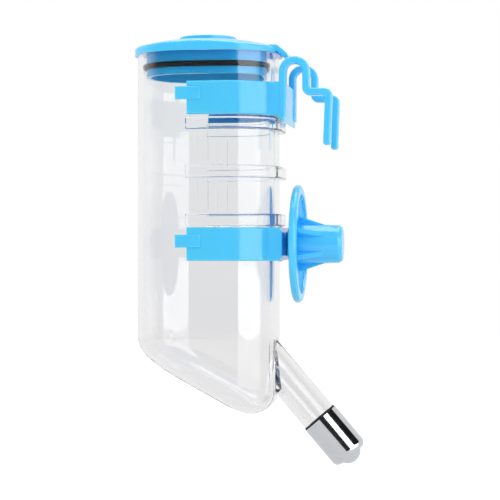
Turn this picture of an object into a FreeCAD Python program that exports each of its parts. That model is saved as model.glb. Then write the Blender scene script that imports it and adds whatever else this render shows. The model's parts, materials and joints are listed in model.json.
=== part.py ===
import FreeCAD, Part
import Sketcher
import math
import os

# Cage-hung water bottle for a rabbit or other small animal.
# Row frame: +X points at the cage, +Y runs across the bottle, +Z is up.  The origin is where the
# cage wire lies in the hooks, midway between the two hooks.  All sizes are in millimetres.

DIMENSIONS = {
    # bottle shell, seen from above a rectangle with a rounded back and rounded front corners
    "bottle_back": -74.2,
    "bottle_front": -10.2,
    "half_width": 28.0,
    "back_radius": 27.4,
    "corner_radius": 20.0,
    "wall": 2.2,
    "rim_top": 5.7,
    "floor_back": -128.5,
    "floor_front": -163.5,
    "floor_radius": 10.0,
    "block_reach": 6.0,
    # clip ribs round the front of the bottle
    "rib_out": 3.0,
    "rib_tall": 5.5,
    "rib_first": -26.4,
    "rib_pitch": 21.4,
    "rib_count": 3,
    "rib_edge": 0.9,
    "rib_rear": -47.2,
    # latch nubs in the grooves between the ribs
    "nub_rear": -41.9,
    "nub_front": -37.4,
    "nub_tall": 12.0,
    "nub_out": 1.0,
    "groove_first": -15.5,
    "groove_count": 4,
    # lid
    "lid_over": 1.4,
    "lid_under": 5.8,
    "lid_block": 9.0,
    "dome_top": 13.8,
    "dome_radius": 120.0,
    "lid_edge": 1.1,
    "boss_radius": 13.0,
    "boss_top": 14.5,
    "boss_edge": 0.5,
    "plug_inset": 3.9,
    "plug_wall": 2.0,
    "plug_low": -4.2,
    "plug_ceiling": 8.2,
    "lip_half": 13.0,
    "lip_front": -3.6,
    "lip_low": 3.8,
    "lip_top": 9.6,
    "lip_tip": 2.6,
    "lip_edge": 0.7,
    # lid sealing ring
    "ring_section": 2.4,
    "ring_level": 0.3,
    "ring_gap": 0.06,
    "ring_groove": 2.6,
    "ring_floor": 4.95,
    "ring_round": 1.15,
    # both clips
    "clip_gap": 0.3,
    "clip_wall": 2.8,
    "clip_tall": 14.8,
    "clip_rear": -46.6,
    "clip_half": 22.0,
    "clip_edge": 0.7,
    "channel_front": -36.6,
    "channel_tall": 13.4,
    "channel_deep": 1.3,
    "tab_reach": 5.2,
    "tab_front": -40.6,
    "tab_tall": 5.7,
    "tab_in": 1.7,
    "tab_out": 3.6,
    "tab_edge": 0.4,
    # hook clip
    "hook_clip_level": -15.3,
    "hook_plate_front": -4.3,
    "hook_plate_back": -7.7,
    "hook_plate_low": -25.8,
    "hook_plate_toe": 0.9,
    "hook_tab_level": -13.3,
    "hook_spacing": 38.0,
    "hook_wide": 6.4,
    "hook_thick": 3.2,
    "hook_gap_radius": 3.6,
    "hook_flat": 0.1,
    "hook_step": -11.0,
    "hook_reach": 16.9,
    "hook_tip": -36.2,
    "hook_lean": 0.9,
    "hook_root": -23.0,
    "hook_bend": 3.4,
    "hook_inner_bend": 1.3,
    "hook_tip_round": 1.2,
    "hook_edge": 0.9,
    # clamp clip, stud, collar and knob
    "clamp_level": -80.0,
    "clamp_plate_front": -5.3,
    "clamp_chamfer": 2.2,
    "clamp_tab_level": -78.7,
    "stud_radius": 4.5,
    "stud_tip": 13.5,
    "stud_head_radius": 8.0,
    "stud_head_thick": 2.0,
    "stud_chamfer": 0.8,
    "thread_gap": 0.08,
    "collar_radius": 6.2,
    "collar_edge": 0.4,
    "disc_back": -2.2,
    "disc_radius": 26.75,
    "disc_thick": 3.5,
    "disc_round": 1.6,
    "disc_ring": 4.0,
    "web_front": -0.4,
    "web_draft": 0.5,
    "hub_root_radius": 9.2,
    "hub_radius": 8.5,
    "hub_tip": 20.0,
    "hub_round": 2.3,
    "hub_bore_end": 16.8,
    "spoke_wide": 0.9,
    "spoke_tall": 0.9,
    "spoke_inner": 12.4,
    "spoke_count": 24,
    "fin_out": 12.4,
    "fin_shoulder": 1.0,
    "fin_tip": 12.5,
    "fin_wide": 2.2,
    "fin_count": 6,
    # drinking spout; lengths along it are counted from the end of the steel cap
    "spout_x": 9.6,
    "spout_z": -159.2,
    "spout_drop": 49.3,
    "spout_radius": 8.2,
    "spout_bore": 5.6,
    "spout_length": 60.0,
    "spigot_radius": 7.8,
    "spigot_length": 5.7,
    "seal_thick": 0.9,
    "seal_radius": 8.5,
    "cap_radius": 8.8,
    "cap_bore": 7.9,
    "cap_length": 21.8,
    "cap_lip": 0.8,
    "cap_shoulder": 3.0,
    "mouth_outer": 5.38,
    "mouth_inner": 5.76,
    "ball_radius": 6.0,
    "ball_centre": 18.9,
    "retainer_back": 5.9,
    "retainer_thick": 2.0,
    "retainer_hole": 1.6,
    "port_radius": 1.4,
    "port_circle": 5.3,
    "port_count": 6,
    "spring_radius": 3.4,
    "spring_wire": 0.3,
    "spring_length": 5.0,
    "spring_turns": 4,
}

# how close two faces or points lie that are meant to be in one place
NEAR = 1e-4

doc = FreeCAD.newDocument("WaterBottle")
sheet = doc.addObject("Spreadsheet::Sheet", "Dims")
for row, (alias, size) in enumerate(DIMENSIONS.items(), start=1):
    sheet.set("A%d" % row, alias)
    sheet.set("B%d" % row, str(size))
    sheet.setAlias("B%d" % row, alias)
doc.recompute()

PLANES = {"top": "XY_Plane", "side": "XZ_Plane"}


def dims(text):
    """An expression in which every dimension's name points at its cell."""
    words = "".join(c if c.isalnum() or c == "_" else " " for c in text).split()
    for word in sorted(set(words), key=len, reverse=True):
        if word in DIMENSIONS:
            text = replace_word(text, word)
    return text


def replace_word(text, word):
    """Puts the sheet's name in front of each whole occurrence of the word."""
    out, start = "", 0
    while True:
        at = text.find(word, start)
        if at < 0:
            return out + text[start:]
        end = at + len(word)
        before = text[at - 1] if at else " "
        after = text[end] if end < len(text) else " "
        whole = not (before.isalnum() or before in "_.") and not (after.isalnum() or after == "_")
        out += text[start:at] + ("Dims." if whole else "") + word
        start = end


def value(text):
    """The number an expression in the dimensions comes to."""
    return float(sheet.evalExpression(dims(text)))


def bind(obj, **sizes):
    """Binds properties of an object to expressions in the dimensions."""
    for name, text in sizes.items():
        obj.setExpression(name, dims(text))


def new_body(name):
    return doc.addObject("PartDesign::Body", name)


def new_sketch(body, name, plane, offset="0"):
    """A sketch on one of the body's own origin planes, raised along the plane's normal."""
    sketch = body.newObject("Sketcher::SketchObject", name)
    role = PLANES[plane]
    base = [f for f in body.Origin.OriginFeatures if f.Role == role][0]
    sketch.AttachmentSupport = [(base, "")]
    sketch.MapMode = "FlatFace"
    sketch.setExpression("AttachmentOffset.Base.z", dims(offset))
    return sketch


def place_point(sketch, geo, end, x_text, y_text):
    """Holds a sketch point at a position given by two expressions."""
    for kind, text in (("DistanceX", x_text), ("DistanceY", y_text)):
        size = value(text)
        if abs(size) < 1e-9:
            axis = -2 if kind == "DistanceX" else -1
            sketch.addConstraint(Sketcher.Constraint("PointOnObject", geo, end, axis))
            continue
        index = sketch.addConstraint(Sketcher.Constraint(kind, -1, 1, geo, end, size))
        sketch.setExpression("Constraints[%d]" % index, dims(text))


def corner_arc(point, back, ahead, radius):
    """The arc that rounds a corner, and whether the outline turns left there.

    back and ahead are the directions from the corner to the corners before and after it.
    """
    half = back.getAngle(ahead) / 2
    run = radius / math.tan(half)
    centre = point + (back + ahead).normalize() * (radius / math.sin(half))
    first, last = point + back * run, point + ahead * run
    left = ahead.cross(back).z > 0
    start, end = (first, last) if left else (last, first)
    angles = [math.atan2(p.y - centre.y, p.x - centre.x) for p in (start, end)]
    if angles[1] < angles[0]:
        angles[1] += 2 * math.pi
    circle = Part.Circle(centre, FreeCAD.Vector(0, 0, 1), radius)
    return first, last, Part.ArcOfCircle(circle, *angles), left


def outline(sketch, corners):
    """A closed outline.  Each corner is (x, y) or (x, y, radius), all expressions."""
    count = len(corners)
    points = [FreeCAD.Vector(value(c[0]), value(c[1]), 0) for c in corners]
    arrive, leave, arcs = list(points), list(points), [None] * count
    for i, corner in enumerate(corners):
        if len(corner) > 2:
            back = (points[i - 1] - points[i]).normalize()
            ahead = (points[(i + 1) % count] - points[i]).normalize()
            arrive[i], leave[i], arc, left = corner_arc(points[i], back, ahead, value(corner[2]))
            arcs[i] = (arc, left)
    lines = []
    for i in range(count):
        segment = Part.LineSegment(leave[i], arrive[(i + 1) % count])
        lines.append(sketch.addGeometry(segment, False))
    for i, corner in enumerate(corners):
        before, after = lines[i - 1], lines[i]
        if arcs[i] is None:
            sketch.addConstraint(Sketcher.Constraint("Coincident", before, 2, after, 1))
            place_point(sketch, after, 1, corner[0], corner[1])
            continue
        arc, left = arcs[i]
        curve = sketch.addGeometry(arc, False)
        near, far = (1, 2) if left else (2, 1)
        sketch.addConstraint(Sketcher.Constraint("Tangent", before, 2, curve, near))
        sketch.addConstraint(Sketcher.Constraint("Tangent", curve, far, after, 1))
        index = sketch.addConstraint(Sketcher.Constraint("Radius", curve, value(corner[2])))
        sketch.setExpression("Constraints[%d]" % index, dims(corner[2]))
        point = sketch.addGeometry(Part.Point(points[i]), True)
        sketch.addConstraint(Sketcher.Constraint("PointOnObject", point, 1, before))
        sketch.addConstraint(Sketcher.Constraint("PointOnObject", point, 1, after))
        place_point(sketch, point, 1, corner[0], corner[1])


def plan(inset):
    """The bottle's outline from above, moved inwards all round by an inset."""
    left, right = "bottle_back + (%s)" % inset, "bottle_front - (%s)" % inset
    side = "half_width - (%s)" % inset
    back, corner = "back_radius - (%s)" % inset, "corner_radius - (%s)" % inset
    return [
        (left, "-(%s)" % side, back),
        (right, "-(%s)" % side, corner),
        (right, side, corner),
        (left, side, back),
    ]


def front_plan(outset, rear):
    """The front part of the bottle's outline, moved outwards and cut off square at the rear."""
    side = "half_width + (%s)" % outset
    front, corner = "bottle_front + (%s)" % outset, "corner_radius + (%s)" % outset
    return [
        (rear, "-(%s)" % side),
        (front, "-(%s)" % side, corner),
        (front, side, corner),
        (rear, side),
    ]


def box_outline(x_low, x_high, y_low, y_high):
    return [(x_low, y_low), (x_high, y_low), (x_high, y_high), (x_low, y_high)]


def add_pad(body, sketch, length, midplane=False, reversed_=False):
    pad = body.newObject("PartDesign::Pad", sketch.Name + "_pad")
    pad.Profile = sketch
    pad.Midplane = midplane
    pad.Reversed = reversed_
    bind(pad, Length=length)
    doc.recompute()
    return pad


def add_pocket(body, sketch, length, midplane=False, reversed_=False):
    """A pocket, checked to take something away."""
    before = body.Shape.Volume
    pocket = body.newObject("PartDesign::Pocket", sketch.Name + "_pocket")
    pocket.Profile = sketch
    pocket.Midplane = midplane
    pocket.Reversed = reversed_
    bind(pocket, Length=length)
    doc.recompute()
    if body.Shape.Volume > before - 0.1:
        raise RuntimeError("%s cuts nothing" % pocket.Name)
    return pocket


def add_revolution(body, sketch):
    turn = body.newObject("PartDesign::Revolution", sketch.Name + "_turn")
    turn.Profile = sketch
    turn.ReferenceAxis = (sketch, ["V_Axis"])
    turn.Angle = 360
    doc.recompute()
    return turn


def add_round(body, base, radius, wanted):
    """A fillet on the edges of the body that the test picks."""
    names = ["Edge%d" % i for i, e in enumerate(body.Shape.Edges, start=1) if wanted(e)]
    if not names:
        raise RuntimeError("%s has no edge to round" % body.Name)
    rounded = body.newObject("PartDesign::Fillet", base.Name + "_round")
    rounded.Base = (base, names)
    bind(rounded, Radius=radius)
    doc.recompute()
    return rounded


def add_pattern(body, kind, feature, count, reach):
    """A polar pattern about the body's own Z axis, or a linear one down it."""
    pattern = body.newObject("PartDesign::" + kind, feature.Name + "_set")
    pattern.Originals = [feature]
    upright = [f for f in body.Origin.OriginFeatures if f.Role == "Z_Axis"][0]
    if kind == "PolarPattern":
        pattern.Axis = (upright, [""])
        pattern.Angle = 360
    else:
        pattern.Direction = (upright, [""])
        pattern.Reversed = True
        bind(pattern, Length=reach)
    bind(pattern, Occurrences=count)
    body.Tip = pattern
    doc.recompute()
    return pattern


def add_part(kind, name, **sizes):
    """A primitive of the Part workbench, with its sizes bound."""
    part = doc.addObject("Part::" + kind, name)
    bind(part, **sizes)
    return part


def cut(name, base, tool):
    result = doc.addObject("Part::Cut", name)
    result.Base, result.Tool = base, tool
    doc.recompute()
    return result


def fuse(name, *shapes):
    result = doc.addObject("Part::MultiFuse", name)
    result.Shapes = list(shapes)
    result.Refine = True
    doc.recompute()
    return result


def part_round(name, base, radius, wanted):
    """A Part fillet on the edges that the test picks."""
    size = value(radius)
    edges = [(i, size, size) for i, e in enumerate(base.Shape.Edges, start=1) if wanted(e)]
    if not edges:
        raise RuntimeError("%s has no edge to round" % base.Name)
    result = doc.addObject("Part::Fillet", name)
    result.Base = base
    result.Edges = edges
    doc.recompute()
    return result


def middle(edge):
    """The point halfway along an edge."""
    return edge.valueAt((edge.FirstParameter + edge.LastParameter) / 2)


def level(edge, height):
    """Whether the whole edge lies at one height."""
    box = edge.BoundBox
    return abs(box.ZMin - height) < NEAR and abs(box.ZMax - height) < NEAR


def round_corner(edge, radius, height):
    """Whether the edge is a circle of this radius about the Z axis at this height."""
    curve = edge.Curve
    circle = isinstance(curve, Part.Circle) and abs(curve.Radius - radius) < NEAR
    return circle and level(edge, height)


def on_spout(part):
    """Stands a part that is drawn up its own Z axis on the spout, pointing down it."""
    turned = FreeCAD.Rotation(FreeCAD.Vector(0, 1, 0), 90 + value("spout_drop"))
    part.Placement = FreeCAD.Placement(FreeCAD.Vector(0, 0, 0), turned)
    part.setExpression("Placement.Base.x", dims("spout_x"))
    part.setExpression("Placement.Base.z", dims("spout_z"))
    part.setExpression("Placement.Rotation.Angle", dims("90 deg + spout_drop * 1 deg"))


def on_clamp(part):
    """Stands a part that is drawn up its own Z axis on the clamp's axis, pointing at the cage."""
    turned = FreeCAD.Rotation(FreeCAD.Vector(0, 1, 0), 90)
    part.Placement = FreeCAD.Placement(FreeCAD.Vector(0, 0, 0), turned)
    part.setExpression("Placement.Base.z", dims("clamp_level"))


# ---------------------------------------------------------------- bottle


def bottle_block(name, inset, top):
    """The bottle's outer or inner form: straight walls down to a sloping, rounded floor."""
    body = new_body(name)
    walls = new_sketch(body, name + "_plan", "top", "floor_front - block_reach")
    outline(walls, plan(inset))
    add_pad(body, walls, "(%s) - floor_front + block_reach" % top)
    slope = "(floor_back - floor_front) / (bottle_front - bottle_back)"
    lift = "(%s) * sqrt(1 + (%s) ^ 2)" % (inset, slope)
    under = new_sketch(body, name + "_under", "side")
    rear, ahead = "bottle_back - block_reach", "bottle_front + block_reach"
    low = "floor_front - 3 * block_reach"
    outline(
        under,
        [
            (rear, low),
            (ahead, low),
            (ahead, "floor_front - block_reach * (%s) + %s" % (slope, lift)),
            (rear, "floor_back + block_reach * (%s) + %s" % (slope, lift)),
        ],
    )
    floor = add_pocket(body, under, "4 * half_width", midplane=True)
    add_round(body, floor, "floor_radius - (%s)" % inset, on_floor)
    return body


def on_floor(edge):
    """Whether an edge of the bottle's form is where a wall meets the floor."""
    return edge.BoundBox.ZMax < value("floor_back") + value("block_reach")


def make_bottle():
    """The clear bottle: walls, floor, three clip ribs and the latch nubs between them."""
    outer = bottle_block("bottle_form", "0", "rim_top")
    low = "rib_first - rib_tall / 2"
    rib = new_sketch(outer, "rib", "top", low)
    outline(rib, front_plan("rib_out", "rib_rear"))
    rib_pad = add_pad(outer, rib, "rib_tall")
    ribs = add_pattern(outer, "LinearPattern", rib_pad, "rib_count", "(rib_count - 1) * rib_pitch")
    nub = new_sketch(outer, "nub", "side")
    nub_low, nub_high = "groove_first - nub_tall / 2", "groove_first + nub_tall / 2"
    outline(nub, box_outline("nub_rear", "nub_front", nub_low, nub_high))
    nub_pad = add_pad(outer, nub, "2 * (half_width + nub_out)", midplane=True)
    nubs_reach = "(groove_count - 1) * rib_pitch"
    nubs = add_pattern(outer, "LinearPattern", nub_pad, "groove_count", nubs_reach)
    add_round(outer, nubs, "rib_edge", lambda e: on_band_edge(e, "rib_out"))
    cavity = bottle_block("bottle_cavity", "wall", "rim_top + block_reach")
    shell = cut("bottle_shell", outer, cavity)
    hole = add_part("Cylinder", "spout_hole", Radius="spout_bore", Height="spout_length")
    on_spout(hole)
    hole.setExpression("Placement.Base.x", dims("spout_x - spout_length * cos(spout_drop * 1 deg)"))
    hole.setExpression("Placement.Base.z", dims("spout_z + spout_length * sin(spout_drop * 1 deg)"))
    bottle = cut("bottle_body", shell, hole)
    return bottle, outer


def on_band_edge(edge, offset):
    """Whether an edge is the outer top or bottom edge of a band round the bottle's front."""
    point = middle(edge)
    if edge.BoundBox.ZLength > NEAR:
        return False
    side = value("half_width + " + offset)
    ahead = value("bottle_front + " + offset)
    corner = value("corner_radius + " + offset)
    reach = math.hypot(point.x - (ahead - corner), abs(point.y) - (side - corner))
    on_side = abs(abs(point.y) - side) < NEAR
    on_front = abs(point.x - ahead) < NEAR
    return on_side or on_front or abs(reach - corner) < NEAR


# ---------------------------------------------------------------- lid and its ring


def make_lid():
    """The lid: a domed flange with a finger lip in front and a hollow plug below."""
    block = new_body("lid_block")
    flange = new_sketch(block, "flange", "top", "lid_under")
    outline(flange, plan("-lid_over"))
    add_pad(block, flange, "lid_block")
    dome = add_part("Sphere", "dome", Radius="dome_radius")
    dome.setExpression("Placement.Base.x", dims("(bottle_back + bottle_front) / 2"))
    dome.setExpression("Placement.Base.z", dims("dome_top - dome_radius"))
    crown = doc.addObject("Part::Common", "crown")
    crown.Base, crown.Tool = block, dome
    doc.recompute()
    lid_under = value("lid_under")
    crown = part_round("crown_round", crown, "lid_edge", lambda e: e.BoundBox.ZMin > lid_under + 1)

    boss = add_part("Cylinder", "boss", Radius="boss_radius", Height="boss_top - plug_ceiling")
    boss.setExpression("Placement.Base.x", dims("(bottle_back + bottle_front) / 2"))
    boss.setExpression("Placement.Base.z", dims("plug_ceiling"))
    doc.recompute()
    boss_top = value("boss_top")
    boss = part_round("boss_round", boss, "boss_edge", lambda e: level(e, boss_top))

    lip = new_body("lip")
    lip_side = new_sketch(lip, "lip_side", "side")
    outline(
        lip_side,
        [
            ("bottle_front - lip_tip", "lid_under + lip_edge"),
            ("bottle_front + lid_over", "lid_under + lip_edge", "lip_edge"),
            ("lip_front - lip_tip", "lip_low", "lip_edge"),
            ("lip_front", "lip_low + lip_tip / 2", "lip_edge"),
            ("bottle_front + lid_over", "lip_top", "lip_tip"),
            ("bottle_front - lip_tip", "lip_top"),
        ],
    )
    lip_pad = add_pad(lip, lip_side, "2 * lip_half", midplane=True)
    flange_front = value("bottle_front + lid_over - lip_edge")
    add_round(lip, lip_pad, "lip_edge / 2", lambda e: e.BoundBox.XMax > flange_front and on_cheek(e))

    plug = new_body("plug")
    skirt = new_sketch(plug, "skirt", "top", "plug_low")
    outline(skirt, plan("plug_inset"))
    add_pad(plug, skirt, "lid_under + 1 - plug_low")
    solid = fuse("lid_solid", crown, boss, lip, plug)

    hollow = new_body("plug_hollow")
    inside = new_sketch(hollow, "inside", "top", "plug_low - 1")
    outline(inside, plan("plug_inset + plug_wall"))
    add_pad(hollow, inside, "plug_ceiling - plug_low + 1")
    hollowed = cut("lid_hollowed", solid, hollow)
    groove = ring_band("groove", "plug_inset - 1", "ring_floor", "ring_groove")
    return cut("lid", hollowed, groove)


def on_cheek(edge):
    """Whether an edge lies in one of the lip's two side faces."""
    box = edge.BoundBox
    half = value("lip_half")
    return box.YLength < NEAR and abs(abs(box.YMin) - half) < NEAR


def ring_band(name, outer_inset, inner_inset, tall):
    """A flat band that follows the bottle's outline at the sealing ring's level."""
    band = new_body(name)
    around = new_sketch(band, name + "_outer", "top", "ring_level - (%s) / 2" % tall)
    outline(around, plan(outer_inset))
    add_pad(band, around, tall)
    within = new_sketch(band, name + "_inner", "top", "ring_level + (%s) / 2" % tall)
    outline(within, plan(inner_inset))
    add_pocket(band, within, tall)
    return band


def make_lid_ring():
    """The black sealing ring round the plug."""
    outer = "wall + ring_gap"
    ring = ring_band("lid_ring", outer, outer + " + ring_section", "ring_section")
    add_round(ring, ring.Tip, "ring_round", lambda e: e.BoundBox.ZLength < NEAR)
    return ring


# ---------------------------------------------------------------- clips


def clip_band(name, centre):
    """The U-shaped band of a clip, with a channel in each arm that lets the nubs pass."""
    body = new_body(name + "_band")
    around = new_sketch(body, name + "_around", "top", "%s - clip_tall / 2" % centre)
    outline(around, front_plan("clip_gap + clip_wall", "clip_rear"))
    band = add_pad(body, around, "clip_tall")
    add_round(body, band, "clip_edge", lambda e: on_band_edge(e, "clip_gap + clip_wall"))
    make_room(body, name + "_inner", centre)
    channel = new_sketch(body, name + "_channel", "side")
    low, high = "%s - channel_tall / 2" % centre, "%s + channel_tall / 2" % centre
    outline(channel, box_outline("clip_rear - clip_wall", "channel_front", low, high))
    deep = "2 * (half_width + clip_gap + channel_deep)"
    add_pocket(body, channel, deep, midplane=True)
    return body


def clip_block(name, centre, corners):
    """The solid front of a clip, from the bottle's wall to a flat face towards the cage."""
    body = new_body(name + "_block")
    side = new_sketch(body, name + "_side", "side")
    outline(side, corners)
    block = add_pad(body, side, "2 * clip_half", midplane=True)
    half = value("clip_half")
    add_round(body, block, "clip_edge", lambda e: block_side(e, half))
    make_room(body, name + "_room", centre)
    return body


def make_room(body, name, centre):
    """Cuts the space for the bottle out of a clip's band or block."""
    inner = new_sketch(body, name, "top", "%s + 2 * clip_tall" % centre)
    outline(inner, front_plan("clip_gap", "bottle_back"))
    add_pocket(body, inner, "4 * clip_tall")


def block_side(edge, half):
    """Whether an edge lies in a side face of a clip's front block, ahead of the band."""
    box = edge.BoundBox
    on_side = box.YLength < NEAR and abs(abs(box.YMin) - half) < NEAR
    return on_side and box.XMax > value("bottle_front") and box.ZLength > value("clip_tall") / 2


def clip_tab(name, centre, side):
    """The flat latch tab at the rear end of a clip's arm."""
    tab = add_part(
        "Box",
        name,
        Length="tab_front - clip_rear + tab_reach",
        Width="tab_out - tab_in",
        Height="tab_tall",
    )
    tab.setExpression("Placement.Base.x", dims("clip_rear - tab_reach"))
    inner_face = "half_width + tab_in" if side > 0 else "-(half_width + tab_out)"
    tab.setExpression("Placement.Base.y", dims(inner_face))
    tab.setExpression("Placement.Base.z", dims("%s - tab_tall / 2" % centre))
    doc.recompute()
    outer_face = side * value("half_width + tab_out")
    return part_round(
        name + "_round",
        tab,
        "tab_edge",
        lambda e: abs(middle(e).y - outer_face) < NEAR,
    )


def hook(name, offset):
    """One hook: up from the clip, over the wire, then out and down in front of the cage."""
    body = new_body(name)
    side = new_sketch(body, name + "_side", "side", offset)
    inner, outer = "hook_gap_radius", "(hook_gap_radius + hook_thick)"
    arch = "hook_thick"
    under = "hook_step - hook_thick"
    outline(
        side,
        [
            ("-" + outer, "hook_root"),
            ("-" + outer, arch, outer + " - hook_flat"),
            (outer, arch, outer + " - hook_flat"),
            (outer, "hook_step", "hook_inner_bend"),
            ("hook_reach", "hook_step", "hook_bend"),
            ("hook_reach - hook_lean", "hook_tip", "hook_tip_round"),
            ("hook_reach - hook_lean - hook_thick", "hook_tip", "hook_tip_round"),
            ("hook_reach - hook_thick", under, "hook_inner_bend"),
            (inner, under, "hook_bend"),
            (inner, "0", inner + " - hook_flat"),
            ("-" + inner, "0", inner + " - hook_flat"),
            ("-" + inner, "hook_root"),
        ],
    )
    pad = add_pad(body, side, "hook_wide", midplane=True)
    faces = value("hook_wide") / 2
    centre = -value(offset)
    root = value("hook_root")

    def on_rim(edge):
        box = edge.BoundBox
        flat = box.YLength < NEAR and abs(abs(box.YMin - centre) - faces) < NEAR
        return flat and box.ZMax > root + 1e-3

    add_round(body, pad, "hook_edge", on_rim)
    return body


def make_hook_clip():
    """The upper clip, with its two hooks and two latch tabs."""
    top, low = "hook_clip_level + clip_tall / 2", "hook_clip_level - clip_tall / 2"
    rear = "bottle_front - corner_radius"
    block = clip_block(
        "hook_clip",
        "hook_clip_level",
        [
            (rear, low),
            ("hook_plate_back", low),
            ("hook_plate_front - hook_plate_toe", "hook_plate_low"),
            ("hook_plate_front", "hook_plate_low"),
            ("hook_plate_front", top, "1.4 * clip_edge"),
            (rear, top),
        ],
    )
    pieces = [clip_band("hook_clip", "hook_clip_level"), block]
    for side, name in ((1, "far"), (-1, "near")):
        pieces.append(clip_tab("hook_tab_" + name, "hook_tab_level", side))
        pieces.append(hook("hook_" + name, "%d * hook_spacing / 2" % -side))
    return fuse("hook_clip", *pieces)


def make_clamp_clip():
    """The lower clip, which holds the stud that the knob turns on."""
    top, low = "clamp_level + clip_tall / 2", "clamp_level - clip_tall / 2"
    rear = "bottle_front - corner_radius"
    block = clip_block(
        "clamp_clip",
        "clamp_level",
        [
            (rear, low),
            ("clamp_plate_front - 0.6 * clamp_chamfer", low),
            ("clamp_plate_front", low + " + clamp_chamfer"),
            ("clamp_plate_front", top + " - clamp_chamfer"),
            ("clamp_plate_front - 0.6 * clamp_chamfer", top),
            (rear, top),
        ],
    )
    pieces = [clip_band("clamp_clip", "clamp_level"), block]
    for side, name in ((1, "far"), (-1, "near")):
        pieces.append(clip_tab("clamp_tab_" + name, "clamp_tab_level", side))
    whole = fuse("clamp_solid", *pieces)
    seat = stud_form("stud_seat", "0.05")
    return cut("clamp_clip", whole, seat)


def stud_form(name, grown):
    """The stud, or the hole that it is pushed into."""
    body = new_body(name)
    side = new_sketch(body, name + "_side", "side")
    back = "bottle_front + clip_gap"
    shoulder = "%s + stud_head_thick" % back
    outline(
        side,
        [
            ("0", back),
            ("stud_head_radius + " + grown, back),
            ("stud_head_radius + " + grown, shoulder),
            ("stud_radius + " + grown, shoulder),
            ("stud_radius + " + grown, "stud_tip - stud_chamfer"),
            ("stud_radius - stud_chamfer", "stud_tip"),
            ("0", "stud_tip"),
        ],
    )
    add_revolution(body, side)
    on_clamp(body)
    return body


def make_collar():
    """The plain collar between the clamp clip and the knob."""
    body = new_body("clamp_collar")
    side = new_sketch(body, "collar_side", "side")
    bore = "stud_radius + thread_gap"
    front, back = "disc_back", "clamp_plate_front"
    outline(
        side,
        [(bore, back), ("collar_radius", back), ("collar_radius", front), (bore, front)],
    )
    turned = add_revolution(body, side)
    outer, end = value("collar_radius"), value(back)
    add_round(body, turned, "collar_edge", lambda e: round_corner(e, outer, end))
    on_clamp(body)
    return body


def make_knob():
    """The clamp knob: a big ribbed disc with a closed, finned hub."""
    body = new_body("clamp_knob")
    side = new_sketch(body, "knob_side", "side")
    front = "disc_back + disc_thick"
    bore = "stud_radius + thread_gap"
    ring = "disc_radius - disc_ring"
    outline(
        side,
        [
            (bore, "disc_back"),
            ("disc_radius", "disc_back"),
            ("disc_radius", front),
            (ring, front),
            (ring + " - web_draft", "web_front"),
            ("hub_root_radius", "web_front"),
            ("hub_radius", "hub_tip"),
            ("0", "hub_tip"),
            ("0", "hub_bore_end"),
            (bore, "hub_bore_end"),
        ],
    )
    turned = add_revolution(body, side)
    rim, tip = value("disc_radius"), value("hub_radius")
    back_level, front_level, tip_level = value("disc_back"), value(front), value("hub_tip")
    rim_round = add_round(
        body,
        turned,
        "disc_round",
        lambda e: round_corner(e, rim, back_level) or round_corner(e, rim, front_level),
    )
    add_round(body, rim_round, "hub_round", lambda e: round_corner(e, tip, tip_level))

    spoke = new_sketch(body, "spoke", "top", "web_front - 0.2")
    outline(spoke, box_outline("spoke_inner", ring, "-spoke_wide / 2", "spoke_wide / 2"))
    spoke_pad = add_pad(body, spoke, "spoke_tall + 0.2")
    add_pattern(body, "PolarPattern", spoke_pad, "spoke_count", None)
    fin = new_sketch(body, "fin", "side")
    outline(
        fin,
        [
            ("hub_radius - 1", "web_front - 0.2"),
            ("fin_out", "web_front - 0.2"),
            ("fin_out", "web_front + fin_shoulder"),
            ("hub_radius - 1", "fin_tip + 3"),
        ],
    )
    fin_pad = add_pad(body, fin, "fin_wide", midplane=True)
    add_pattern(body, "PolarPattern", fin_pad, "fin_count", None)
    on_clamp(body)
    return body


# ---------------------------------------------------------------- spout and nozzle


def make_spout(bottle_form):
    """The clear spout: a tube from the front wall, with a spigot inside the steel cap."""
    body = new_body("spout_form")
    side = new_sketch(body, "spout_side", "side")
    outline(
        side,
        [
            ("spout_bore", "-spout_length"),
            ("spout_radius", "-spout_length"),
            ("spout_radius", "-seal_thick"),
            ("spigot_radius", "-seal_thick"),
            ("spigot_radius", "spigot_length"),
            ("spout_bore", "spigot_length"),
        ],
    )
    add_revolution(body, side)
    on_spout(body)
    doc.recompute()
    return cut("spout_tube", body, bottle_form)


def make_nozzle_seal():
    """The black washer between the spout's shoulder and the steel cap."""
    body = new_body("nozzle_seal")
    side = new_sketch(body, "seal_side", "side")
    outline(side, box_outline("spigot_radius", "seal_radius", "-seal_thick", "0"))
    add_revolution(body, side)
    on_spout(body)
    return body


def make_nozzle_cap():
    """The polished steel cap, turned in at the mouth to hold the ball."""
    body = new_body("nozzle_cap")
    side = new_sketch(body, "cap_side", "side")
    inner_end = "cap_length - cap_lip"
    outline(
        side,
        [
            ("cap_bore", "0"),
            ("cap_radius", "0"),
            ("cap_radius", "cap_length", "cap_shoulder"),
            ("mouth_outer", "cap_length"),
            ("mouth_inner", inner_end),
            ("cap_bore", inner_end, "cap_bore - mouth_inner - 0.1"),
        ],
    )
    add_revolution(body, side)
    on_spout(body)
    return body


def make_nozzle_ball():
    """The steel ball that closes the mouth."""
    ball = add_part("Sphere", "nozzle_ball", Radius="ball_radius")
    turned = FreeCAD.Rotation(FreeCAD.Vector(0, 1, 0), 90 + value("spout_drop"))
    ball.Placement = FreeCAD.Placement(FreeCAD.Vector(0, 0, 0), turned)
    across, down = "cos(spout_drop * 1 deg)", "sin(spout_drop * 1 deg)"
    ball.setExpression("Placement.Base.x", dims("spout_x + ball_centre * " + across))
    ball.setExpression("Placement.Base.z", dims("spout_z - ball_centre * " + down))
    doc.recompute()
    return ball


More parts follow.
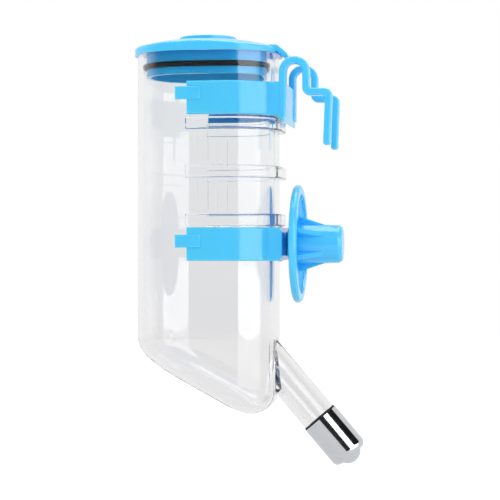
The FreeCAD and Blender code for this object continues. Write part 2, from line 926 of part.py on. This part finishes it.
def make_retainer():
    """The plastic disc that backs the spring, with ports for the water."""
    body = new_body("spring_retainer")
    side = new_sketch(body, "retainer_side", "side")
    front = "retainer_back + retainer_thick"
    outline(side, box_outline("retainer_hole", "spigot_radius", "retainer_back", front))
    add_revolution(body, side)
    port = new_sketch(body, "port", "top", front)
    place = FreeCAD.Vector(value("port_circle"), 0, 0)
    circle = port.addGeometry(Part.Circle(place, FreeCAD.Vector(0, 0, 1), value("port_radius")))
    size = port.addConstraint(Sketcher.Constraint("Radius", circle, value("port_radius")))
    port.setExpression("Constraints[%d]" % size, dims("port_radius"))
    place_point(port, circle, 3, "port_circle", "0")
    pocket = add_pocket(body, port, "2 * retainer_thick")
    add_pattern(body, "PolarPattern", pocket, "port_count", None)
    on_spout(body)
    return body


def make_spring():
    """The small coil spring between the retainer and the ball."""
    coil = add_part(
        "Helix",
        "spring_coil",
        Radius="spring_radius",
        Height="spring_length",
        Pitch="spring_length / spring_turns",
    )
    section = add_part("Circle", "spring_section", Radius="spring_wire")
    upright = FreeCAD.Rotation(FreeCAD.Vector(1, 0, 0), 90)
    section.Placement = FreeCAD.Placement(FreeCAD.Vector(0, 0, 0), upright)
    section.setExpression("Placement.Base.x", dims("spring_radius"))
    doc.recompute()
    spring = doc.addObject("Part::Sweep", "nozzle_spring")
    spring.Sections = [section]
    spring.Spine = (coil, ["Edge1"])
    spring.Solid = True
    spring.Frenet = True
    turned = FreeCAD.Rotation(FreeCAD.Vector(0, 1, 0), 90 + value("spout_drop"))
    spring.Placement = FreeCAD.Placement(FreeCAD.Vector(0, 0, 0), turned)
    start = "(retainer_back + retainer_thick + 2 * spring_wire)"
    across, down = "cos(spout_drop * 1 deg)", "sin(spout_drop * 1 deg)"
    spring.setExpression("Placement.Base.x", dims("spout_x + %s * %s" % (start, across)))
    spring.setExpression("Placement.Base.z", dims("spout_z - %s * %s" % (start, down)))
    doc.recompute()
    return spring


# ---------------------------------------------------------------- assembly


def main():
    bottle, bottle_form = make_bottle()
    nodes = {
        "bottle_body": bottle,
        "spout_tube": make_spout(bottle_form),
        "nozzle_seal": make_nozzle_seal(),
        "nozzle_cap": make_nozzle_cap(),
        "nozzle_ball": make_nozzle_ball(),
        "nozzle_spring": make_spring(),
        "spring_retainer": make_retainer(),
        "lid": make_lid(),
        "lid_ring": make_lid_ring(),
        "hook_clip": make_hook_clip(),
        "clamp_clip": make_clamp_clip(),
        "clamp_stud": stud_form("clamp_stud", "0"),
        "clamp_collar": make_collar(),
        "clamp_knob": make_knob(),
    }
    doc.recompute()
    for obj in doc.Objects:
        if "Invalid" in obj.State or "Error" in obj.State:
            raise RuntimeError("%s did not compute: %s" % (obj.Name, obj.State))
    for name, obj in nodes.items():
        obj.Label = name
        if obj.Shape.isNull() or not obj.Shape.isValid() or len(obj.Shape.Solids) != 1:
            raise RuntimeError("%s is not one valid solid" % name)
    os.makedirs("parts", exist_ok=True)
    for name, obj in nodes.items():
        obj.Shape.exportStep("parts/%s.step" % name)
        box = obj.Shape.BoundBox
        print("%-16s %9.1f mm3  %s" % (name, obj.Shape.Volume, box))


main()
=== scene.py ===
import json
import math

import bmesh
import bpy
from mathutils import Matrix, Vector


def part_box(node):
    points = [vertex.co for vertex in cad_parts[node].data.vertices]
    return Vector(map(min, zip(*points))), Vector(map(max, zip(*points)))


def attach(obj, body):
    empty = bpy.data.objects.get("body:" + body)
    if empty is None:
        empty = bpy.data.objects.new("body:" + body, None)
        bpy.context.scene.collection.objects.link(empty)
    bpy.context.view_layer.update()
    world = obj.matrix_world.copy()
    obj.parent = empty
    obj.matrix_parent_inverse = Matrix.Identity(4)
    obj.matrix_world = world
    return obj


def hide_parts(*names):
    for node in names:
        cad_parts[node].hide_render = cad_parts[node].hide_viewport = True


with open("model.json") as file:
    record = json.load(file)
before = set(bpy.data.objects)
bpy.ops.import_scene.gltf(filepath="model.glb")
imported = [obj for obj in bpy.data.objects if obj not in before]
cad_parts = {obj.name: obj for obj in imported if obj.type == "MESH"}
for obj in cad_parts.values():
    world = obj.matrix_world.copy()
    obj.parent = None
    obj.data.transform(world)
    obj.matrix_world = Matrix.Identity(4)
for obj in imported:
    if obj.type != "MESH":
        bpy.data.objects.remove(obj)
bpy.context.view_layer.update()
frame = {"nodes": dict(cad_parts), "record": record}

MM = 0.001

# The spout's axis: the point where the steel cap begins, and the slope down towards the cage.
# The weld at the spout's root fills a radius just over the tube's, on the bottle's front wall.
SPOUT_START = Vector((9.6, 0, -159.2)) * MM
SPOUT_DROP = math.radians(49.3)
SPOUT_LINE = Vector((math.cos(SPOUT_DROP), 0, -math.sin(SPOUT_DROP)))
SPOUT_RADIUS = 8.25 * MM
WALL_FACE = -10.2 * MM
WALL_LEEWAY = 0.1 * MM

# The levels between which the clear plastic's tint changes.
TINT_LOW = -0.165
TINT_HIGH = 0.0

# The stud's thread, and how it thins and runs out at the tip.
THREAD_CREST = 4.5 * MM
THREAD_ROOT = 3.75 * MM
THREAD_PITCH = 3.0 * MM
FLANK_SLOPE = 3.8
TIP_TAPER = 1.5 * MM
TIP_DROP = 0.4 * MM

# The point that the softboxes face, and how far from it they stand.
LIT_POINT = Vector((-0.02, 0, -0.08))
SOFTBOX_DISTANCE = 0.9

# Enough for light to get through all the walls of the clear pieces, one behind the other.
LIGHT_BOUNCES = 24

# A ray's depth is a whole number, so a depth above this means that it has happened at least once.
NEVER = 0.5


# ---------------------------------------------------------------- camera


def make_camera():
    """A long lens at the bottle's own level, a little to the cage's side of square on."""
    azimuth = math.radians(8.0)
    distance = 0.750
    target = Vector((-22.7, 0, -78.2)) * MM
    data = bpy.data.cameras.new("camera")
    data.sensor_width = 36.0
    data.lens = 118.1
    data.shift_y = -0.02
    data.clip_start = 0.01
    camera = bpy.data.objects.new("camera", data)
    camera.location = target + distance * Vector((math.sin(azimuth), -math.cos(azimuth), 0))
    camera.rotation_euler = (math.radians(90), 0, azimuth)
    bpy.context.scene.collection.objects.link(camera)
    bpy.context.scene.camera = camera


# ---------------------------------------------------------------- material nodes


def new_material(name):
    """A node material, with its tree and its Principled shader."""
    material = bpy.data.materials.new(name)
    material.use_nodes = True
    tree = material.node_tree
    shader = tree.nodes["Principled BSDF"]
    return material, tree, shader


def noise(tree, scale, detail, stretch=(1, 1, 1), turn=(0, 0, 0)):
    """Noise in the object's own metres, stretched and turned where a finish has a direction."""
    place = tree.nodes.new("ShaderNodeTexCoord")
    mapping = tree.nodes.new("ShaderNodeMapping")
    mapping.inputs["Scale"].default_value = stretch
    mapping.inputs["Rotation"].default_value = turn
    texture = tree.nodes.new("ShaderNodeTexNoise")
    texture.inputs["Scale"].default_value = scale
    texture.inputs["Detail"].default_value = detail
    tree.links.new(place.outputs["Object"], mapping.inputs["Vector"])
    tree.links.new(mapping.outputs["Vector"], texture.inputs["Vector"])
    return texture.outputs["Fac"]


def remap(tree, value, before, after, easing):
    """A value moved from the range before to the range after, and kept inside it."""
    node = tree.nodes.new("ShaderNodeMapRange")
    node.interpolation_type = easing
    node.inputs["From Min"].default_value = before[0]
    node.inputs["From Max"].default_value = before[1]
    node.inputs["To Min"].default_value = after[0]
    node.inputs["To Max"].default_value = after[1]
    tree.links.new(value, node.inputs["Value"])
    return node.outputs["Result"]


def spread(tree, value, low, high):
    """A noise value, which keeps near its middle, spread over the range from low to high."""
    return remap(tree, value, before=(0.3, 0.7), after=(low, high), easing="LINEAR")


def ease(tree, value, before, after):
    """A value that passes smoothly from one end of the range after to the other."""
    return remap(tree, value, before, after, easing="SMOOTHSTEP")


def combine(tree, operation, first, second):
    """Two values put together by a maths operation; the second may be a plain number."""
    node = tree.nodes.new("ShaderNodeMath")
    node.operation = operation
    tree.links.new(first, node.inputs[0])
    if isinstance(second, float):
        node.inputs[1].default_value = second
    else:
        tree.links.new(second, node.inputs[1])
    return node.outputs["Value"]


def set_colour(tree, shader, value, first, second):
    """A base colour between two, by a value from 0 to 1."""
    ramp = tree.nodes.new("ShaderNodeValToRGB")
    ramp.color_ramp.elements[0].color = (*first, 1)
    ramp.color_ramp.elements[1].color = (*second, 1)
    tree.links.new(value, ramp.inputs["Fac"])
    tree.links.new(ramp.outputs["Color"], shader.inputs["Base Color"])


def set_roughness(tree, shader, value, low, high):
    """A roughness from low to high, by a noise value."""
    tree.links.new(spread(tree, value, low, high), shader.inputs["Roughness"])


def add_bump(tree, shader, value, strength, distance):
    """Relief from a value."""
    bump = tree.nodes.new("ShaderNodeBump")
    bump.inputs["Strength"].default_value = strength
    bump.inputs["Distance"].default_value = distance
    tree.links.new(value, bump.inputs["Height"])
    tree.links.new(bump.outputs["Normal"], shader.inputs["Normal"])


def where_bonded(tree, place):
    """1 where the spout's root is welded to the bottle's front wall, 0 elsewhere."""
    depth = tree.nodes.new("ShaderNodeSeparateXYZ")
    tree.links.new(place, depth.inputs["Vector"])
    at_wall = tree.nodes.new("ShaderNodeMath")
    at_wall.operation = "COMPARE"
    at_wall.inputs[1].default_value = WALL_FACE
    at_wall.inputs[2].default_value = WALL_LEEWAY
    tree.links.new(depth.outputs["X"], at_wall.inputs[0])
    from_start = tree.nodes.new("ShaderNodeVectorMath")
    from_start.operation = "SUBTRACT"
    from_start.inputs[1].default_value = SPOUT_START
    tree.links.new(place, from_start.inputs[0])
    across = tree.nodes.new("ShaderNodeVectorMath")
    across.operation = "CROSS_PRODUCT"
    across.inputs[1].default_value = SPOUT_LINE
    tree.links.new(from_start.outputs["Vector"], across.inputs[0])
    away = tree.nodes.new("ShaderNodeVectorMath")
    away.operation = "LENGTH"
    tree.links.new(across.outputs["Vector"], away.inputs[0])
    inside = combine(tree, "LESS_THAN", away.outputs["Value"], SPOUT_RADIUS)
    return combine(tree, "MULTIPLY", at_wall.outputs["Value"], inside)


# ---------------------------------------------------------------- materials


def clear_plastic():
    """Clear moulded styrene: glassy, with the faint waviness and haze of a moulding.

    It is a little warmer and greyer towards the foot of the bottle, and light goes straight
    through where two clear pieces are welded together.
    """
    material, tree, shader = new_material("clear_plastic")
    shader.inputs["Transmission Weight"].default_value = 1.0
    shader.inputs["IOR"].default_value = 1.45
    place = tree.nodes.new("ShaderNodeTexCoord").outputs["Object"]
    height = tree.nodes.new("ShaderNodeSeparateXYZ")
    tree.links.new(place, height.inputs["Vector"])
    rise = ease(tree, height.outputs["Z"], before=(TINT_LOW, TINT_HIGH), after=(0.0, 1.0))
    mottle = spread(tree, noise(tree, scale=18, detail=2), low=-0.15, high=0.15)
    shade = combine(tree, "ADD", rise, mottle)
    set_colour(tree, shader, shade, (0.950, 0.947, 0.953), (0.968, 0.980, 0.989))
    haze = noise(tree, scale=60, detail=4)
    set_roughness(tree, shader, haze, low=0.01, high=0.05)
    waves = noise(tree, scale=22, detail=1, stretch=(1, 1, 0.35))
    add_bump(tree, shader, waves, strength=0.25, distance=0.0006)
    joint = tree.nodes.new("ShaderNodeMixShader")
    straight = tree.nodes.new("ShaderNodeBsdfTransparent")
    tree.links.new(where_bonded(tree, place), joint.inputs[0])
    tree.links.new(shader.outputs["BSDF"], joint.inputs[1])
    tree.links.new(straight.outputs["BSDF"], joint.inputs[2])
    tree.links.new(joint.outputs["Shader"], tree.nodes["Material Output"].inputs["Surface"])
    return material


def blue_plastic():
    """Sky-blue gloss plastic that lets a little light into it.

    In its recesses the base colour is painted a deeper blue by ambient occlusion: painted shade,
    standing in for light that has passed through more of the plastic.
    """
    material, tree, shader = new_material("blue_plastic")
    shader.inputs["Subsurface Weight"].default_value = 0.5
    shader.inputs["Subsurface Radius"].default_value = (0.4, 1.0, 1.6)
    shader.inputs["Subsurface Scale"].default_value = 0.003
    # Painted shade: ambient occlusion deepens the base colour in recesses and behind the clear
    # walls.
    shade_occlusion = tree.nodes.new("ShaderNodeAmbientOcclusion")
    shade_occlusion.samples = 8
    shade_occlusion.inputs["Distance"].default_value = 12 * MM
    painted_shade_fac = ease(tree, shade_occlusion.outputs["AO"], before=(0.2, 0.75), after=(0.0, 0.94))
    mottle = spread(tree, noise(tree, scale=90, detail=4), low=-0.06, high=0.06)
    shade = combine(tree, "ADD", painted_shade_fac, mottle)
    set_colour(tree, shader, shade, (0.020, 0.480, 1.000), (0.090, 0.590, 1.000))
    polish = noise(tree, scale=140, detail=5)
    set_roughness(tree, shader, polish, low=0.10, high=0.20)
    grain = noise(tree, scale=1800, detail=2)
    add_bump(tree, shader, grain, strength=0.08, distance=0.00004)
    return material


def polished_steel():
    """Mirror-polished steel with faint turning lines round the nozzle's axis."""
    material, tree, shader = new_material("polished_steel")
    shader.inputs["Metallic"].default_value = 1.0
    turn = (0, math.radians(90) - SPOUT_DROP, 0)
    lines = noise(tree, scale=900, detail=2, stretch=(0.04, 0.04, 1), turn=turn)
    set_colour(tree, shader, lines, (0.60, 0.62, 0.64), (0.68, 0.70, 0.72))
    polish = noise(tree, scale=300, detail=4)
    set_roughness(tree, shader, polish, low=0.05, high=0.12)
    add_bump(tree, shader, lines, strength=0.04, distance=0.00002)
    return material


def black_rubber():
    """Soft black rubber."""
    material, tree, shader = new_material("black_rubber")
    shader.inputs["Specular IOR Level"].default_value = 0.2
    mottle = noise(tree, scale=240, detail=4)
    set_colour(tree, shader, mottle, (0.008, 0.008, 0.009), (0.022, 0.022, 0.024))
    bloom = noise(tree, scale=500, detail=4)
    set_roughness(tree, shader, bloom, low=0.35, high=0.6)
    grain = noise(tree, scale=2600, detail=3)
    add_bump(tree, shader, grain, strength=0.15, distance=0.00005)
    return material


def spring_steel():
    """Drawn wire."""
    material, tree, shader = new_material("spring_steel")
    shader.inputs["Metallic"].default_value = 1.0
    mottle = noise(tree, scale=700, detail=3)
    set_colour(tree, shader, mottle, (0.50, 0.51, 0.52), (0.68, 0.69, 0.70))
    grain = noise(tree, scale=1500, detail=3)
    set_roughness(tree, shader, grain, low=0.22, high=0.38)
    return material


def white_plastic():
    """Milky moulded plastic inside the nozzle."""
    material, tree, shader = new_material("white_plastic")
    shader.inputs["Subsurface Weight"].default_value = 0.2
    shader.inputs["Subsurface Scale"].default_value = 0.001
    mottle = noise(tree, scale=300, detail=3)
    set_colour(tree, shader, mottle, (0.80, 0.80, 0.77), (0.90, 0.90, 0.88))
    polish = noise(tree, scale=400, detail=3)
    set_roughness(tree, shader, polish, low=0.3, high=0.45)
    return material


def floor_paint():
    """Matt pale grey that glows to the camera alone, so that the camera sees it as white."""
    glow_strength = 0.5
    material, tree, shader = new_material("floor")
    shader.inputs["Roughness"].default_value = 0.9
    shader.inputs["Emission Color"].default_value = (1, 1, 1, 1)
    mottle = noise(tree, scale=3, detail=2)
    set_colour(tree, shader, mottle, (0.74, 0.74, 0.74), (0.76, 0.76, 0.76))
    path = tree.nodes.new("ShaderNodeLightPath")
    glow = combine(tree, "MULTIPLY", path.outputs["Is Camera Ray"], glow_strength)
    tree.links.new(glow, shader.inputs["Emission Strength"])
    return material


MATERIALS = {
    "clear_plastic": clear_plastic(),
    "blue_plastic": blue_plastic(),
    "polished_steel": polished_steel(),
    "black_rubber": black_rubber(),
    "spring_steel": spring_steel(),
    "white_plastic": white_plastic(),
}


def dress_nodes():
    """Gives each CAD node the material of its slot."""
    for part in frame["record"]["subparts"]:
        node = frame["nodes"][part["node"]]
        node.data.materials.clear()
        node.data.materials.append(MATERIALS[part["material_slot"]])


# ---------------------------------------------------------------- pieces


def thread_radius(x, angle, shoulder, tip):
    """The stud's radius at one point of its right-hand thread: broad crests, rounded grooves."""
    phase = ((x - shoulder) / THREAD_PITCH - angle / (2 * math.pi)) % 1.0
    height = min(1.0, max(0.0, FLANK_SLOPE * 0.5 - FLANK_SLOPE * abs(phase - 0.5)))
    height = height * height * (3 - 2 * height)
    fade = max(0.0, min(1.0, (tip - x) / TIP_TAPER))
    return THREAD_ROOT + (THREAD_CREST - THREAD_ROOT) * height * fade - TIP_DROP * (1 - fade)


def make_stud():
    """The stud with its real thread, in place of the plain one."""
    low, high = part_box("clamp_stud")
    axis_level = (low.z + high.z) / 2
    head_radius = (high.z - low.z) / 2
    head_thick = 2.0 * MM
    back_edge, front_edge = 0.5 * MM, 0.3 * MM
    back, tip = low.x, high.x
    shoulder = back + head_thick
    length = tip - shoulder
    around, rows_per_turn = 48, 24
    steps = int(length / THREAD_PITCH * rows_per_turn)
    mesh = bmesh.new()
    rings = []

    def ring(x, radius_at):
        points = []
        for i in range(around):
            angle = 2 * math.pi * i / around
            radius = radius_at(angle)
            offset = Vector((0, radius * math.cos(angle), radius * math.sin(angle)))
            points.append(mesh.verts.new(Vector((x, 0, axis_level)) + offset))
        rings.append(points)

    ring(back, lambda angle: head_radius - back_edge)
    ring(back + back_edge, lambda angle: head_radius)
    ring(shoulder - front_edge, lambda angle: head_radius)
    ring(shoulder, lambda angle: head_radius - front_edge)
    for step in range(steps + 1):
        x = shoulder + length * step / steps
        ring(x, lambda angle: thread_radius(x, angle, shoulder, tip))
    for first, second in zip(rings, rings[1:]):
        for i in range(around):
            j = (i + 1) % around
            mesh.faces.new((first[i], first[j], second[j], second[i]))
    mesh.faces.new(list(reversed(rings[0])))
    mesh.faces.new(rings[-1])
    bmesh.ops.recalc_face_normals(mesh, faces=mesh.faces)
    data = bpy.data.meshes.new("threaded_stud")
    mesh.to_mesh(data)
    mesh.free()
    data.materials.append(MATERIALS["blue_plastic"])
    data.polygons.foreach_set("use_smooth", [len(p.vertices) == 4 for p in data.polygons])
    stud = bpy.data.objects.new("threaded_stud", data)
    bpy.context.scene.collection.objects.link(stud)
    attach(stud, "clamp_clip")
    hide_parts("clamp_stud")


# ---------------------------------------------------------------- stage and light


def make_floor():
    """A plain pale floor below the hanging bottle, as white to the camera as the wall behind it."""
    radius, level = 2.0, -0.24
    mesh = bmesh.new()
    bmesh.ops.create_circle(mesh, cap_ends=True, radius=radius, segments=96)
    data = bpy.data.meshes.new("floor")
    mesh.to_mesh(data)
    mesh.free()
    data.materials.append(floor_paint())
    floor = bpy.data.objects.new("floor", data)
    floor.location = (0, 0, level)
    bpy.context.scene.collection.objects.link(floor)


def add_softbox(name, azimuth, elevation, size, radiance):
    """A rectangular soft light that is only seen in reflections.

    Azimuth is counted from the front of the bottle's side towards the cage, and the light's
    power is worked out from how bright its face looks.
    """
    data = bpy.data.lights.new(name, "AREA")
    data.shape = "RECTANGLE"
    data.size, data.size_y = size
    data.energy = radiance * math.pi * data.size * data.size_y
    light = bpy.data.objects.new(name, data)
    around, up = math.radians(azimuth), math.radians(elevation)
    out = Vector((math.sin(around) * math.cos(up), -math.cos(around) * math.cos(up), math.sin(up)))
    light.location = LIT_POINT + SOFTBOX_DISTANCE * out
    light.rotation_euler = (-out).to_track_quat("-Z", "Y").to_euler()
    light.visible_diffuse = False
    bpy.context.scene.collection.objects.link(light)


def towards(tree, vector, centre):
    """The cosine of the angle between a direction and a fixed one."""
    dot = tree.nodes.new("ShaderNodeVectorMath")
    dot.operation = "DOT_PRODUCT"
    dot.inputs[1].default_value = Vector(centre).normalized()
    tree.links.new(vector, dot.inputs[0])
    return dot.outputs["Value"]


def make_world():
    """A white studio: even white for the camera and for diffuse light.

    Reflections and refractions see white behind the bottle and a dim room in front of it, with
    a dark gap up towards the cage, which is what gives clear plastic and steel their contrast.
    """
    wall_behind, room_in_front = 0.90, 0.03
    darkest_in_gap = 0.015
    least_through_plastic = 0.15
    diffuse_white = 1.2
    world = bpy.data.worlds.new("studio")
    bpy.context.scene.world = world
    world.use_nodes = True
    tree = world.node_tree
    background = tree.nodes["Background"]
    background.inputs["Color"].default_value = (1, 1, 1, 1)
    sky = tree.nodes.new("ShaderNodeTexCoord").outputs["Generated"]
    back = towards(tree, sky, (0, 1, 0))
    behind = ease(tree, back, before=(-0.30, 0.10), after=(room_in_front, wall_behind))
    cage_side = towards(tree, sky, (0.69, -0.10, 0.72))
    gap = ease(tree, cage_side, before=(0.89, 0.94), after=(1.0, darkest_in_gap))
    seen = combine(tree, "MINIMUM", behind, gap)
    path = tree.nodes.new("ShaderNodeLightPath")
    through = combine(tree, "GREATER_THAN", path.outputs["Transmission Depth"], NEVER)
    through = combine(tree, "MULTIPLY", through, least_through_plastic)
    seen = combine(tree, "MAXIMUM", seen, through)
    diffuse = combine(tree, "GREATER_THAN", path.outputs["Diffuse Depth"], NEVER)
    diffuse = combine(tree, "MULTIPLY", diffuse, diffuse_white)
    even = combine(tree, "MAXIMUM", path.outputs["Is Camera Ray"], diffuse)
    tree.links.new(combine(tree, "MAXIMUM", seen, even), background.inputs["Strength"])


def make_light():
    """The softboxes, the studio round them, and how far light is followed through the plastic."""
    add_softbox("side_softbox", azimuth=59, elevation=8, size=(1.15, 0.45), radiance=2.6)
    add_softbox("high_softbox", azimuth=38, elevation=32, size=(0.44, 0.36), radiance=3.3)
    add_softbox("low_card", azimuth=59, elevation=-17, size=(1.15, 0.50), radiance=1.35)
    add_softbox("top_softbox", azimuth=180, elevation=80, size=(0.8, 0.8), radiance=4)
    make_world()
    scene = bpy.context.scene
    scene.view_settings.view_transform = "Standard"
    scene.cycles.max_bounces = LIGHT_BOUNCES
    scene.cycles.glossy_bounces = LIGHT_BOUNCES
    scene.cycles.transmission_bounces = LIGHT_BOUNCES


make_camera()
dress_nodes()
make_stud()
make_floor()
make_light()
